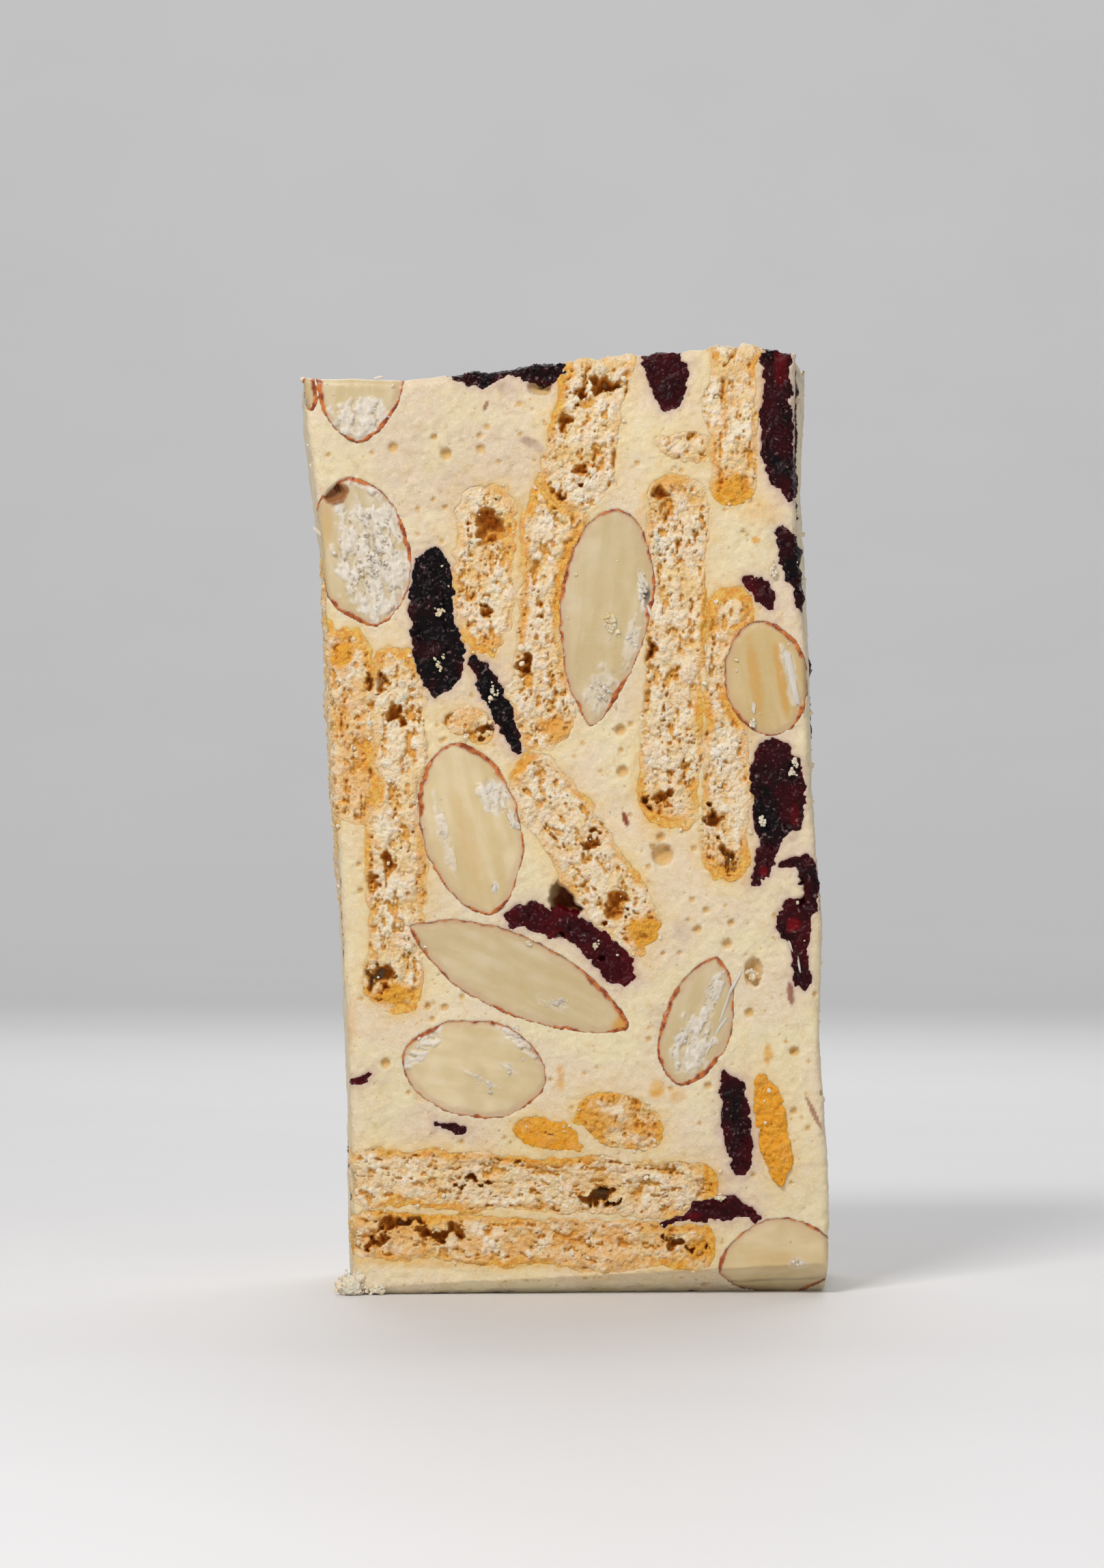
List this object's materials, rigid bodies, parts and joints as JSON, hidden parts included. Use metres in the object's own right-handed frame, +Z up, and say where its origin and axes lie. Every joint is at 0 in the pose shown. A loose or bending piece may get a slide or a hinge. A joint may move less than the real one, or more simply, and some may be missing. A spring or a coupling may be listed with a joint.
{
  "type": "nougat bar",
  "caption": "Standing bar of whipped white nougat, cut on every side, with sliced almonds, dried cranberries and round biscuits showing at the cut faces",
  "frame": {"origin": "centre of the bounding box at its base", "axes": "+Z up, along the bar's length; the cut face in the picture looks along -Y; the bar is widest across X"},
  "size_m": [0.0514, 0.0242, 0.0895],
  "materials": {
    "nougat": "matte, aerated, lightly powdered cream nougat",
    "almond": "satin cut kernel with a thin brown skin",
    "cranberry": "sticky dried fruit, rough, dark purple red",
    "biscuit": "dry crumbly baked biscuit with a golden crust"
  },
  "bodies": {
    "root": {"almond_back_bottom": "almond", "almond_back_left": "almond", "almond_back_middle": "almond", "almond_back_right": "almond", "almond_back_top": "almond", "almond_bottom_right": "almond", "almond_chip": "almond", "almond_left": "almond", "almond_left_side": "almond", "almond_long": "almond", "almond_lower_left": "almond", "almond_lower_right": "almond", "almond_middle_left": "almond", "almond_right_side": "almond", "almond_top_left": "almond", "almond_upper_middle": "almond", "almond_upper_right": "almond", "biscuit_arch_low": "biscuit", "biscuit_back_low": "biscuit", "biscuit_bit_left": "biscuit", "biscuit_bit_low": "biscuit", "biscuit_bit_upper": "biscuit", "biscuit_bottom_lower": "biscuit", "biscuit_bottom_upper": "biscuit", "biscuit_crust_right": "biscuit", "biscuit_left_edge": "biscuit", "biscuit_left_inner": "biscuit", "biscuit_middle_slant": "biscuit", "biscuit_right_inner": "biscuit", "biscuit_right_outer": "biscuit", "biscuit_top_middle": "biscuit", "biscuit_top_right": "biscuit", "biscuit_upper_left": "biscuit", "biscuit_upper_middle": "biscuit", "cranberry_back_left": "cranberry", "cranberry_back_middle": "cranberry", "cranberry_back_right": "cranberry", "cranberry_back_top": "cranberry", "cranberry_bottom": "cranberry", "cranberry_chip_right": "cranberry", "cranberry_left_large": "cranberry", "cranberry_left_side": "cranberry", "cranberry_left_tail": "cranberry", "cranberry_lower_right": "cranberry", "cranberry_middle": "cranberry", "cranberry_right_edge": "cranberry", "cranberry_right_hook": "cranberry", "cranberry_right_large": "cranberry", "cranberry_shred_left": "cranberry", "cranberry_shred_low": "cranberry", "cranberry_side_middle": "cranberry", "cranberry_side_top": "cranberry", "cranberry_top_edge": "cranberry", "cranberry_top_middle": "cranberry", "cranberry_top_right": "cranberry", "nougat": "nougat"}
  },
  "joints": []
}
